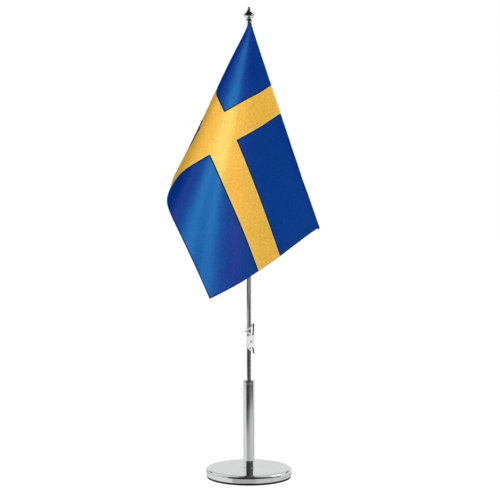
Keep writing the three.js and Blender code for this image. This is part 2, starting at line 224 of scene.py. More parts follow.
class Shader:
    """A small wrapper that adds nodes to a material or world and links them."""

    def __init__(self, tree):
        self.tree = tree

    def node(self, kind, **settings):
        made = self.tree.nodes.new(kind)
        for key, value in settings.items():
            setattr(made, key, value)
        return made

    def feed(self, socket, value):
        if isinstance(value, bpy.types.NodeSocket):
            self.tree.links.new(value, socket)
        else:
            socket.default_value = value

    def math(self, operation, *values, clamp=False):
        made = self.node("ShaderNodeMath", operation=operation, use_clamp=clamp)
        for socket, value in zip(made.inputs, values):
            self.feed(socket, value)
        return made.outputs[0]

    def smoothstep(self, value, low, high):
        made = self.node("ShaderNodeMapRange", interpolation_type="SMOOTHSTEP")
        for socket, given in zip(made.inputs, (value, low, high, 0.0, 1.0)):
            self.feed(socket, given)
        return made.outputs[0]

    def remap(self, value, low, high, out_low, out_high):
        made = self.node("ShaderNodeMapRange")
        for socket, given in zip(made.inputs, (value, low, high, out_low, out_high)):
            self.feed(socket, given)
        return made.outputs[0]

    def mix(self, factor, first, second):
        """Mixes colours: inputs 6 and 7, and output 2, are the node's colour sockets."""
        made = self.node("ShaderNodeMix", data_type="RGBA")
        self.feed(made.inputs[0], factor)
        self.feed(made.inputs[6], first)
        self.feed(made.inputs[7], second)
        return made.outputs[2]

    def noise(self, vector, scale, detail=2.0, stretch=None):
        if stretch:
            mapping = self.node("ShaderNodeMapping")
            self.feed(mapping.inputs["Vector"], vector)
            mapping.inputs["Scale"].default_value = stretch
            vector = mapping.outputs[0]
        made = self.node("ShaderNodeTexNoise")
        self.feed(made.inputs["Vector"], vector)
        made.inputs["Scale"].default_value = scale
        made.inputs["Detail"].default_value = detail
        return made.outputs[0]

    def bump(self, height, distance, strength=1.0, normal=None):
        made = self.node("ShaderNodeBump")
        self.feed(made.inputs["Height"], height)
        made.inputs["Distance"].default_value = distance
        made.inputs["Strength"].default_value = strength
        if normal is not None:
            self.feed(made.inputs["Normal"], normal)
        return made.outputs[0]


def new_material(name, metallic=0.0):
    material = bpy.data.materials.new(name)
    material.use_nodes = True
    shader = Shader(material.node_tree)
    principled = material.node_tree.nodes["Principled BSDF"]
    principled.inputs["Metallic"].default_value = metallic
    place = shader.node("ShaderNodeTexCoord").outputs["Object"]
    return material, shader, principled, place


def polished_metal(name, colour, roughness, scratches=0.3, stretch=(1, 1, 0.05)):
    """Plated or polished metal: smudged roughness and faint lines from polishing."""
    material, shader, principled, place = new_material(name, metallic=1.0)
    smudge = shader.noise(place, 60, detail=4.0)
    tone = shader.remap(smudge, 0.3, 0.7, 0.96, 1.0)
    tint = shader.node("ShaderNodeMix", data_type="RGBA", blend_type="MULTIPLY")
    tint.inputs[0].default_value = 1.0
    tint.inputs[6].default_value = (*colour, 1)
    shader.feed(tint.inputs[7], tone)
    shader.feed(principled.inputs["Base Color"], tint.outputs[2])
    shader.feed(principled.inputs["Roughness"],
                shader.remap(smudge, 0.35, 0.75, roughness, roughness * 1.8))
    lines = shader.noise(place, 4000, detail=2.0, stretch=stretch)
    shader.feed(principled.inputs["Normal"],
                shader.bump(lines, 0.000002, strength=scratches))
    return material


def grainy(name, colour, dark, roughness, scale, depth, metallic=0.0):
    """A dull surface with grain: cast iron, felt, nylon."""
    material, shader, principled, place = new_material(name, metallic)
    grain = shader.noise(place, scale, detail=6.0)
    shader.feed(principled.inputs["Base Color"],
                shader.mix(shader.smoothstep(grain, 0.3, 0.7), (*dark, 1), (*colour, 1)))
    shader.feed(principled.inputs["Roughness"],
                shader.remap(grain, 0.3, 0.7, roughness, min(1.0, roughness * 1.25)))
    shader.feed(principled.inputs["Normal"], shader.bump(grain, depth))
    return material


def cord_material():
    """White twisted polyester: fine fibres along the cord, with painted shade that makes the
    valleys of the fibre bump greyer.
    """
    material, shader, principled, place = new_material("white_cord")
    fibres = shader.noise(place, 9000, detail=3.0)
    soil = shader.noise(place, 350, detail=2.0)
    # Painted shade: the fibre tone turns grey where the fibre bump is low, in its valleys
    valley_shaded_fibre_tone = shader.mix(shader.smoothstep(fibres, 0.25, 0.75), (0.74, 0.74, 0.75, 1),
                       (0.93, 0.93, 0.92, 1))
    shader.feed(principled.inputs["Base Color"],
                shader.mix(shader.remap(soil, 0.4, 0.8, 0.0, 0.3), valley_shaded_fibre_tone, (0.72, 0.71, 0.69, 1)))
    principled.inputs["Roughness"].default_value = 0.75
    principled.inputs["Sheen Weight"].default_value = 0.25
    shader.feed(principled.inputs["Normal"], shader.bump(fibres, 0.00004))
    return material


# Sizes on the printed cloth, in metres like the UV map they are used with
YARN_PITCH = 0.00034
TIE_PITCH = 0.0011
TIE_DRIFT = 0.00085
SEALED_WIDTH = (0.0004, 0.0009)
GLOSS_SHARE = 0.08


def satin(name, colour, gloss_colour, edge_colour, edge_width, sealed_colour):
    """Printed satin: matt ink with a coloured gloss that runs across the yarns. The flat place
    on the cloth (metres along the length, metres down the hoist) is in the UV map, and the
    yarns, slubs and printed edges are laid out on it."""
    material, shader, principled, _ = new_material(name)
    flat = shader.node("ShaderNodeUVMap", uv_map="flat").outputs[0]
    part = shader.node("ShaderNodeSeparateXYZ")
    shader.feed(part.inputs[0], flat)
    along, down = part.outputs[0], part.outputs[1]

    # Yarns: floats that run along the length, with short ties between them
    yarn_row = shader.math("SINE", shader.math("MULTIPLY", down, TAU / YARN_PITCH))
    tie = shader.math("SINE", shader.math("ADD", shader.math("MULTIPLY", along, TAU / TIE_PITCH),
                                          shader.math("MULTIPLY", down, TAU / TIE_DRIFT)))
    weave = shader.math("ADD", yarn_row, shader.math("MULTIPLY", tie, 0.5))
    slub = shader.noise(flat, 1100, detail=2.0, stretch=(0.5, 1.0, 1.0))
    mottle = shader.noise(flat, 420, detail=3.0)
    cloud = shader.noise(flat, 22, detail=2.0)

    grain = shader.math("ADD", shader.remap(slub, 0.25, 0.75, -0.17, 0.17),
                        shader.remap(mottle, 0.3, 0.7, -0.09, 0.09))
    grain = shader.math("ADD", grain, shader.remap(cloud, 0.3, 0.7, -0.04, 0.04))
    tone = shader.math("ADD", 1.0, grain)

    def toned(given):
        scaled = shader.node("ShaderNodeVectorMath", operation="SCALE")
        scaled.inputs[0].default_value = given
        shader.feed(scaled.inputs["Scale"], tone)
        return scaled.outputs[0]

    # How far a place is from where the two inks meet: above 0 in the cross, below 0 outside
    def inside(value, band):
        return shader.math("MINIMUM", shader.math("SUBTRACT", value, band[0] * MM),
                           shader.math("SUBTRACT", band[1] * MM, value))

    meeting = shader.math("ABSOLUTE", shader.math("MAXIMUM", inside(along, CROSS_U),
                                                  inside(down, CROSS_V)))
    edge = shader.math("SUBTRACT", 1.0, shader.smoothstep(meeting, edge_width * 0.6,
                                                         edge_width))
    ink = shader.mix(shader.math("MULTIPLY", edge, 0.9), toned(colour), (*edge_colour, 1))

    # The cut edges are sealed with heat, which darkens them
    border = shader.math("MINIMUM", down, shader.math(
        "MINIMUM", shader.math("SUBTRACT", LENGTH * MM, along),
        shader.math("SUBTRACT", HOIST * MM, down)))
    sealed = shader.math("SUBTRACT", 1.0, shader.smoothstep(border, *SEALED_WIDTH))
    ink = shader.mix(shader.math("MULTIPLY", sealed, 0.6), ink, (*sealed_colour, 1))
    shader.feed(principled.inputs["Base Color"], ink)
    principled.inputs["Roughness"].default_value = 0.8
    principled.inputs["Specular IOR Level"].default_value = 0.0

    tangent = shader.node("ShaderNodeTangent", direction_type="UV_MAP", uv_map="flat")
    fine = shader.bump(weave, 0.00001, strength=0.5)
    normal = shader.bump(slub, 0.00005, strength=0.6, normal=fine)
    shader.feed(principled.inputs["Normal"], normal)

    gloss = shader.node("ShaderNodeBsdfAnisotropic")
    shader.feed(gloss.inputs["Color"], toned(gloss_colour))
    shader.feed(gloss.inputs["Roughness"], shader.remap(slub, 0.2, 0.8, 0.34, 0.42))
    gloss.inputs["Anisotropy"].default_value = 0.35
    shader.feed(gloss.inputs["Tangent"], tangent.outputs[0])
    shader.feed(gloss.inputs["Normal"], normal)
    blend = shader.node("ShaderNodeMixShader")
    plain = shader.math("SUBTRACT", 1.0, shader.math("MAXIMUM", edge, sealed))
    shader.feed(blend.inputs[0], shader.math("MULTIPLY", plain, GLOSS_SHARE))
    shader.feed(blend.inputs[1], principled.outputs[0])
    shader.feed(blend.inputs[2], gloss.outputs[0])
    shader.feed(material.node_tree.nodes["Material Output"].inputs["Surface"],
                blend.outputs[0])
    return material


CHROME = polished_metal("chrome", (0.90, 0.905, 0.91), 0.035, scratches=0.12)
CHROME_TOP = polished_metal("chrome_disc", (0.90, 0.905, 0.91), 0.045, scratches=0.2,
                            stretch=(1, 1, 1))
NICKEL = polished_metal("dark_nickel", (0.17, 0.17, 0.18), 0.16, scratches=0.5)
ZINC = polished_metal("zinc", (0.60, 0.61, 0.62), 0.32, scratches=0.8)
IRON = grainy("cast_iron", (0.10, 0.10, 0.105), (0.05, 0.05, 0.052), 0.65, 500, 0.0002, 0.6)
FELT = grainy("black_felt", (0.014, 0.014, 0.015), (0.004, 0.004, 0.004), 0.85, 2500, 0.0002)
NYLON = grainy("nylon", (0.80, 0.79, 0.74), (0.72, 0.71, 0.66), 0.4, 400, 0.00003)
CORD = cord_material()
BLUE = satin("blue_satin", (0.0001, 0.027, 0.25), (0.10, 0.60, 1.0), (0.001, 0.010, 0.030),
             0.0014, (0.001, 0.012, 0.06))
YELLOW = satin("yellow_satin", (0.93, 0.50, 0.060), (0.40, 0.88, 0.42), (0.86, 0.68, 0.16),
               0.0008, (0.50, 0.27, 0.04))
BLUE_EDGE = grainy("blue_cut_edge", (0.003, 0.03, 0.12), (0.002, 0.012, 0.05), 0.5, 3000, 0.00004)
YELLOW_EDGE = grainy("yellow_cut_edge", (0.55, 0.30, 0.05), (0.4, 0.2, 0.03), 0.5, 3000, 0.00004)
THREAD = grainy("blue_thread", (0.012, 0.07, 0.30), (0.006, 0.035, 0.16), 0.6, 5000, 0.00005)


def dress(piece, material):
    piece.data.materials.clear()
    piece.data.materials.append(material)


def place_piece(piece, body, slot, *nodes, material=None):
    """Gives a piece its material, its CAD body, and the CAD nodes it stands for."""
    if material is not None:
        dress(piece, material)
    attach(piece, body)
    if nodes:
        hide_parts(*nodes)
    return piece


# ---- Base ----------------------------------------------------------------------------------

def make_base():
    low, high = node_size("base_cover")
    radius, top = high.x, high.z
    bead, wall, rim, hole = 2.6, 0.9, 0.35, 2.4
    outline = [(radius - wall, low.z + 0.3), (radius - wall + 0.3, low.z)]
    outline += arc((radius - rim, low.z + rim), rim, -90, 0, 4)
    outline += [(radius, low.z + rim + SUPPORT), (radius, top - bead - SUPPORT)]
    outline += arc((radius - bead, top - bead), bead, 0, 90, 20)
    outline += [(radius - bead - SUPPORT, top), (radius * 0.5, top), (TUBE_RADIUS + 0.4, top),
                (hole, top), (hole, top - wall)]
    outline += arc((radius - bead, top - bead), bead - wall, 90, 0, 6)
    cover = turned("base_cover_spun", outline, steps=256)
    place_piece(cover, "base", "chrome", "base_cover", material=CHROME_TOP)

    low, high = node_size("base_pad")
    edge = 0.25
    outline = [(0, low.z), (high.x - edge, low.z)]
    outline += arc((high.x - edge, low.z + edge), edge, -90, 0, 3)
    outline += arc((high.x - edge, high.z - edge), edge, 0, 90, 3)
    outline += [(0, high.z)]
    pad = turned("base_pad_felt", outline, steps=192)
    place_piece(pad, "base", "felt", "base_pad", material=FELT)


# ---- Socket --------------------------------------------------------------------------------

def straight(radius, low, high, count=8):
    """Rings along a straight side, with one close to each end."""
    return [(radius, z) for z in np.linspace(low + SUPPORT, high - SUPPORT, count)]


def make_socket():
    low, high = node_size("socket_tube")
    lip = TUBE_LIP
    outline = [(TUBE_BORE, low.z), (TUBE_RADIUS - lip, low.z)]
    outline += arc((TUBE_RADIUS - lip, low.z + lip), lip, -90, 0, 3)
    outline += straight(TUBE_RADIUS, low.z + lip, high.z - lip)
    outline += arc((TUBE_RADIUS - lip, high.z - lip), lip, 0, 90, 3)
    outline += [(TUBE_BORE, high.z)]
    tube = turned("socket_tube_plated", outline, steps=128)
    place_piece(tube, "base", "chrome", "socket_tube", material=CHROME)

    seat = high.z
    low, high = node_size("tube_collar")
    hole = 2.5
    spigot = TUBE_BORE - 0.05
    shoulder = 0.55
    outline = [(hole, low.z), (spigot, low.z), (spigot, seat)]
    outline += arc((TUBE_RADIUS - lip, seat + lip), lip, -90, 0, 3)
    outline += straight(TUBE_RADIUS, seat + lip, high.z - shoulder, 2)
    outline += arc((TUBE_RADIUS - shoulder, high.z - shoulder), shoulder, 0, 90, 8)
    outline += arc((hole + 0.3, high.z - 0.3), 0.3, 90, 180, 4)
    collar = turned("tube_collar_plated", outline, steps=128)
    place_piece(collar, "base", "chrome", "tube_collar", material=CHROME)


# ---- Pole and its fittings -----------------------------------------------------------------

def make_pole():
    low, high = node_size("pole_rod")
    radius = high.x
    bevel, top_edge, bore_depth = 0.4, 0.15, 7.2
    outline = [(0, low.z), (radius - bevel, low.z)]
    outline += arc((radius - bevel, low.z + bevel), bevel, -90, 0, 4)
    outline += straight(radius, low.z + bevel, high.z - top_edge, 40)
    outline += arc((radius - top_edge, high.z - top_edge), top_edge, 0, 90, 3)
    outline += [(STUD_BORE, high.z), (STUD_BORE, high.z - bore_depth), (0, high.z - bore_depth)]
    pole = turned("pole_plated", outline, steps=72)
    place_piece(pole, "pole", "chrome", "pole_rod", material=CHROME)


def make_finial():
    """An onion with a full round belly, a flare and a stout spike."""
    low, high = node_size("finial_knob")
    height = high.z - low.z
    belly = high.x
    bore_top = 2.8
    lower = [(0.44, 0.0), (0.66, 0.05), (0.85, 0.11), (0.96, 0.18), (1.0, 0.25)]
    flare = [(0.975, 0.315), (0.88, 0.385), (0.70, 0.46), (0.54, 0.53), (0.42, 0.60),
             (0.34, 0.68), (0.285, 0.76), (0.255, 0.84), (0.245, 0.90), (0.21, 0.955),
             (0.12, 0.99)]
    outline = [(0, low.z + bore_top), (STUD_BORE, low.z + bore_top), (STUD_BORE, low.z)]
    outline += [(r * belly, low.z + t * height) for r, t in lower + flare]
    outline += [(0, high.z)]
    finial = turned("finial_plated", outline, steps=96, sharp_angle=50)
    place_piece(finial, "pole", "chrome", "finial_knob", material=CHROME)


def eye_centre():
    """Centre of the wire eye under the ring."""
    low, high = node_size("truck_eye")
    return (low + high) / 2


def make_ring():
    low, high = node_size("truck_ring")
    outer, inner = high.x - 0.35, 2.25
    round_edge = 0.15
    outline = arc((outer - round_edge, low.z + round_edge), round_edge, -90, 0, 4)
    outline += arc((outer - round_edge, high.z - round_edge), round_edge, 0, 90, 4)
    outline += [(inner, high.z), (inner, low.z)]
    ring = turned("truck_ring_plated", outline, steps=72)
    place_piece(ring, "truck", "chrome", "truck_ring", material=NICKEL)

    wire_radius = 0.28
    centre = eye_centre()
    reach = node_size("truck_eye")[1].z - centre.z - wire_radius + 0.1
    outward = Vector((centre.x, centre.y, 0)).normalized()
    side = outward.cross(Vector((0, 0, 1)))
    angles = np.linspace(-1.5 * math.pi, 0.5 * math.pi, 40)
    path = np.array([centre + side * reach * math.cos(a) + Vector((0, 0, reach * math.sin(a)))
                     for a in angles])
    eye = wire("truck_eye_wire", path, wire_radius)
    place_piece(eye, "truck", "chrome", "truck_eye", material=NICKEL)


def make_cleat():
    low, high = node_size("cleat_bar")
    horn = (low.x + high.x) / 2 + 0.25
    waist = node_size("cleat_rivet")[1].x + CLEAT_STANDOFF
    middle = (low.z + high.z) / 2
    upper, lower = high.z + 1.2, low.z
    path = smooth_path([
        (horn + 0.1, 0, upper), (horn - 0.05, 0, upper - 4), (horn - 0.4, 0, upper - 9),
        (waist, 0, middle + 3), (waist, 0, middle - 4), (horn - 0.75, 0, lower + 6.4),
        (horn - 0.1, 0, lower + 3.4), (horn + 0.35, 0, lower)], 0.35)
    bar = wire("cleat_wire", path, CLEAT_WIRE_RADIUS)
    place_piece(bar, "pole", "chrome", "cleat_bar", material=NICKEL)

    low, high = node_size("cleat_rivet")
    centre = (low + high) / 2
    path = np.array([(x, 0, centre.z) for x in np.linspace(1.9, high.x + 0.25, 8)])
    rivet = wire("cleat_rivet_turned", path, 0.8, sides=24, tip=0.2)
    place_piece(rivet, "pole", "chrome", "cleat_rivet", material=NICKEL)


# ---- Cord ----------------------------------------------------------------------------------

def cord_line():
    """Where the cord hangs inside the hoist sleeve: its place in the plan view."""
    low, high = node_size("hoist_sleeve")
    centre = (low + high) / 2
    return centre.x, centre.y


def turn_point(fraction):
    """The cord's way round the pole, from the flag's side to the back."""
    upper_low, _ = node_size("halyard_upper")
    lower_low, lower_high = node_size("halyard_lower")
    start_x, start_y = cord_line()
    back = (lower_low.y + lower_high.y) / 2
    turn_bottom = upper_low.z + 6
    turn_top = turn_bottom + 28
    ease = fraction * fraction * (3 - 2 * fraction)
    angle = (1 - ease) * math.atan2(start_y, start_x) + ease * math.pi / 2
    reach = (1 - ease) * math.hypot(start_x, start_y) + ease * back
    return (reach * math.cos(angle), reach * math.sin(angle),
            turn_top + (turn_bottom - turn_top) * fraction)


def make_halyard():
    """The cord from the ring's eye, through the sleeve and round to the back of the pole. Its
    lower end turns with the pole."""
    x, y = cord_line()
    eye = eye_centre()
    points = [(eye.x - 0.5, eye.y + 0.62, eye.z - 1.9), (eye.x - 0.35, eye.y + 0.45, eye.z - 0.5),
              (eye.x + 0.1, eye.y - 0.1, eye.z), (eye.x + 0.25, eye.y - 0.45, eye.z - 1.2),
              (eye.x + 0.2, eye.y - 0.3, eye.z - 4.5), (eye.x + 0.7, eye.y - 0.8, eye.z - 7.5),
              (x - 0.25, y + 0.35, eye.z - 11), (x, y, eye.z - 15), (x, y, eye.z - 24),
              (x, y, 340), (x, y, 280), (x, y, 230)]
    points += [turn_point(i / 6) for i in range(7)]
    lower_low, lower_high = node_size("halyard_lower")
    back = (lower_low.y + lower_high.y) / 2
    points += [(0, back, lower_high.z + 0.5)]
    upper = cord("halyard_upper_cord", smooth_path(points, 0.3), CORD_RADIUS)
    dress(upper, CORD)
    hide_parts("halyard_upper")
    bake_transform(upper)

    hitch_low, hitch_high = node_size("cord_hitch")
    points = [(0, back, lower_high.z + 0.4), (0, back, 165), (-0.1, back, 148),
              (0.7, back - 0.1, hitch_high.z + 13), (2.3, 2.1, hitch_high.z + 10.4)]
    lower = cord("halyard_lower_cord", smooth_path(points, 0.3), CORD_RADIUS)
    place_piece(lower, "pole", "cord", "halyard_lower", material=CORD)


def front_of_cleat(x):
    """How far forward a cord lies that crosses the pole or the cleat's wire at x."""
    pole = node_size("pole_rod")[1].x + HITCH_CORD_RADIUS
    bar = node_size("cleat_rivet")[1].x + CLEAT_STANDOFF
    over_wire = CLEAT_WIRE_RADIUS + HITCH_CORD_RADIUS
    over_pole = math.sqrt(max(0.0, pole ** 2 - x ** 2))
    over_bar = math.sqrt(max(0.0, over_wire ** 2 - (x - bar) ** 2))
    return -max(over_pole, over_bar, 0.35)


def make_hitch():
    """The cord made fast: lengthwise turns between the pole and the cleat's two horns, held by
    strands that cross the front of the pole above and below them."""
    top, bottom = 128.4, 118.2
    middle = (top + bottom) / 2
    split = 1.35
    # Each turn's left and right strands, how far it stacks forward, and how much shorter it is
    turns = [(-1.75, 4.50, 0.0, 0.0), (-0.90, 3.85, 0.5, 0.765), (-0.05, 3.30, 0.75, 1.445),
             (0.65, 2.85, 0.85, 2.125), (-1.3, 4.2, 1.1, 0.425), (-0.35, 3.5, 1.6, 1.19)]
    points = []
    for k, (left, right, stack, shrink) in enumerate(turns):
        high, low = top - shrink, bottom + shrink
        sway = 0.18 * math.sin(2.1 * k + 0.4)
        for x, z, lift in (
                (left, middle - 0.3, 0.0), (left + 0.05, high - 2.4, 0.0),
                (left + 0.55, high - 0.7, 0.1), (split - 0.4 + sway, high - 0.1, 0.3),
                (right - 0.9, high - 0.7, 0.1), (right - 0.1, high - 2.2, 0.0),
                (right + sway, middle, 0.0), (right - 0.1, low + 2.0, 0.0),
                (right - 0.9, low + 0.6, 0.1), (split - 0.3 - sway, low, 0.3),
                (left + 0.6, low + 0.7, 0.1), (left + 0.05, low + 2.4, 0.0)):
            points.append((x, front_of_cleat(x) - stack * 0.75 - lift, z))
    windings = cord("cord_windings", smooth_path(points, 0.3), HITCH_CORD_RADIUS)
    place_piece(windings, "pole", "cord", "cord_hitch", material=CORD)

    pole = node_size("pole_rod")[1].x + HITCH_CORD_RADIUS
    front = -pole - 0.1

    def round_pole(degrees, z, extra=0.05):
        a = math.radians(degrees)
        return ((pole + extra) * math.cos(a), (pole + extra) * math.sin(a), z)

    # Degrees run from the cleat's side (0) by the back (90) and the left (180) to the front
    crossing = cord("cord_crossing", smooth_path(
        [round_pole(60, top + 9.7, 0.4), round_pole(15, top + 8.9, 0.3),
         round_pole(-35, top + 7.8), round_pole(-90, top + 6.2), round_pole(-145, top + 4.9),
         round_pole(-185, top + 4.2), round_pole(-215, top + 3.9), round_pole(-185, top + 3.6),
         round_pole(-145, top + 3.2, 0.3), round_pole(-90, top + 2.3, 0.4),
         round_pole(-40, top + 0.7, 0.5), (2.6, -1.7, top - 0.6)], 0.3), HITCH_CORD_RADIUS)
    place_piece(crossing, "pole", "cord", material=CORD)

    tail = cord("cord_tail", smooth_path(
        [(-1.7, front * 0.62, bottom + 2.0), round_pole(-150, bottom + 0.9),
         round_pole(-120, bottom - 0.2), round_pole(-85, bottom - 1.6),
         round_pole(-45, bottom - 2.9), round_pole(-10, bottom - 3.5),
         round_pole(30, bottom - 3.8), round_pole(75, bottom - 4.6),
         (0.4, pole + 0.4, bottom - 8)], 0.3), HITCH_CORD_RADIUS)
    place_piece(tail, "pole", "cord", material=CORD)


# ---- Flag ----------------------------------------------------------------------------------

# The cloth hangs as a cone from its top corner at the hoist. These are points of its section
# one unit below the corner, from the hoist round the back bulge and the left-hand fold,
# across the front and out to the free top edge, as in the CAD model. Their values come from a
# least-squares fit to the flag's outline, corners and cross in the photo.
DRAPE_SECTION = [
    (0.0, 0.0), (-0.277, 0.029), (-0.483, 0.075), (-0.502, -0.059), (-0.438, -0.234),
    (-0.039, -0.3), (0.305, -0.605), (0.329, -0.585),
]


CAMERA_DIP = 0.118      # how far the camera looks down for each step forward


def flag_corner():
    """The cone's tip, from the sleeve's place: the sleeve hangs to its right and in front."""
    to_sleeve = (1.3, -0.9, -9.0)
    x, y = cord_line()
    _, sleeve_high = node_size("hoist_sleeve")
    return np.array([x - to_sleeve[0], y - to_sleeve[1], sleeve_high.z - to_sleeve[2]])


def drape_rulings():
    """Unit directions of the cloth's straight lines, and their flat angles from the hoist."""
    section = smooth_path([(x, y, -1.0) for x, y in DRAPE_SECTION], 0.004)
    directions = section / np.linalg.norm(section, axis=1)[:, None]
    turns = np.linalg.norm(np.diff(directions, axis=0), axis=1)
    angles = np.concatenate([[0], np.cumsum(turns)])
    return directions, angles * (math.pi / 2) / angles[-1]


RULINGS, RULING_ANGLES = drape_rulings()
CORNER = flag_corner()


def bell(value, centre, width):
    return np.exp(-((value - centre) / width) ** 2)


def ramp(value, low, high):
    part = np.clip((value - low) / (high - low), 0, 1)
    return part * part * (3 - 2 * part)


def along_ruling(angle):
    direction = np.column_stack([np.interp(angle, RULING_ANGLES, RULINGS[:, k])
                                 for k in range(3)])
    return direction / np.linalg.norm(direction, axis=1)[:, None]


def ruling_normal(angle):
    """Unit normals of the cone, on the side that faces the viewer on the front layer."""
    step = 0.004
    before = along_ruling(np.maximum(angle - step, 0))
    after = along_ruling(np.minimum(angle + step, math.pi / 2))
    normal = np.cross(along_ruling(angle), after - before)
    return normal / np.linalg.norm(normal, axis=1)[:, None]


def drape(u, v):
    """Points of the hanging cloth, from flat places u along the length and v down the hoist."""
    angle = np.arctan2(u, v)
    distance = np.hypot(u, v)
    points = CORNER + distance[:, None] * along_ruling(angle)
    normal = ruling_normal(angle)

    # A shallow swell near the free top edge that fans out from the corner, and a slight
    # unevenness of the free edges
    degrees = np.degrees(angle)
    ridge = -0.004 * bell(degrees, 80, 6.0)
    lift = distance * ridge * ramp(distance, 5, 60)
    lift += 0.5 * np.sin(v / 17 + 0.6) * ramp(u, LENGTH - 45, LENGTH)
    lift += 0.35 * np.sin(u / 21 + 1.1) * ramp(v, HOIST - 30, HOIST)
    points = points - normal * lift[:, None]

    # The cloth gives a little: it sags between the folds, is fuller at the gathered tip, and
    # curls out at the top fly corner. The sizes of these shifts, the first one's place and
    # width, and the fourth one's width along the cloth come from a fit to the photo too.
    def give(amount, x, z):
        points[:, 0] += x * amount
        points[:, 2] += z * amount

    give(bell(degrees, 64, 13) * ramp(distance, 15, 70), -1.7, 2.3)
    give(bell(degrees, 40, 9) * ramp(distance, 60, 150), -0.4, -2.7)
    give(bell(degrees, 58, 14) * ramp(distance, 120, 245), 2.6, -1.9)
    give((1 - ramp(degrees, 35, 62)) * bell(distance, 30, 55), -2.3, 0.0)
    give(ramp(u, 0.72 * LENGTH, 1.02 * LENGTH) * (1 - ramp(v, 0, 0.5 * HOIST)), 0.5, 2.3)

    # Beyond the middle fold the cloth hangs back a little, as seen along the camera's tilt
    fold = 53.5 + 4 * (1 - ramp(distance, 40, 160))
    width = 3.2 + 3.2 * (1 - ramp(distance, 50, 150))
    back = 0.0056 * width * distance * (1 + np.tanh((degrees - fold) / width)) / 2
    points[:, 1] += back
    points[:, 2] -= back * CAMERA_DIP

    # The tip is drawn up to the ring's eye
    points += np.array([-0.1, 0.3, 2.2]) * np.exp(-distance / 6)[:, None]
    return points


def grid_lines(breaks, step, fine):
    """Places from 0 through the breaks, close together near 0 and then in even steps."""
    growth, fine_count = 1.16, 14
    lines = list(fine * (growth ** np.arange(fine_count) - 1) / (growth - 1))
    for low, high in zip([lines[-1]] + list(breaks), breaks):
        count = max(1, round((high - low) / step))
        lines += [low + (high - low) * i / count for i in range(1, count + 1)]
    return np.array(lines)


def make_flag():
    u_lines = grid_lines([CROSS_U[0], CROSS_U[1], LENGTH], CLOTH_STEP, 0.3)
    v_lines = grid_lines([CROSS_V[0], CROSS_V[1], HOIST], CLOTH_STEP, 0.3)
    u_lines = u_lines + HEM_START * (1 - u_lines / LENGTH)
    u_lines[np.argmin(abs(u_lines - CROSS_U[0]))] = CROSS_U[0]
    u_lines[np.argmin(abs(u_lines - CROSS_U[1]))] = CROSS_U[1]
    u, v = np.meshgrid(u_lines, v_lines, indexing="ij")
    points = drape(u.ravel(), v.ravel())
    bm = bmesh.new()
    verts = [bm.verts.new(point) for point in points]
    flat = bm.loops.layers.uv.new("flat")
    rows, columns = u.shape
    for i in range(rows - 1):
        for j in range(columns - 1):
            if math.hypot(u_lines[i + 1], v_lines[j + 1]) < CORNER_CUT:
                continue
            picks = [(i, j), (i, j + 1), (i + 1, j + 1), (i + 1, j)]
            face = bm.faces.new([verts[a * columns + b] for a, b in picks])
            for loop, (a, b) in zip(face.loops, picks):
                loop[flat].uv = (u_lines[a] * MM, v_lines[b] * MM)
            middle_u = (u_lines[i] + u_lines[i + 1]) / 2
            middle_v = (v_lines[j] + v_lines[j + 1]) / 2
            in_upright = CROSS_U[0] < middle_u < CROSS_U[1]
            in_level = CROSS_V[0] < middle_v < CROSS_V[1]
            face.material_index = 1 if in_upright or in_level else 0
    loose = [vert for vert in bm.verts if not vert.link_faces]
    bmesh.ops.delete(bm, geom=loose, context="VERTS")
    cloth = finish_mesh("flag_satin", bm, sharp_angle=180)
    for material in (BLUE, YELLOW, BLUE_EDGE, YELLOW_EDGE):
        cloth.data.materials.append(material)
    thick = cloth.modifiers.new("cloth_thickness", "SOLIDIFY")
    thick.thickness = CLOTH_THICKNESS * MM
    thick.offset = 0
    thick.material_offset_rim = 2
    place_piece(cloth, "flag", "satin", "flag_cloth")


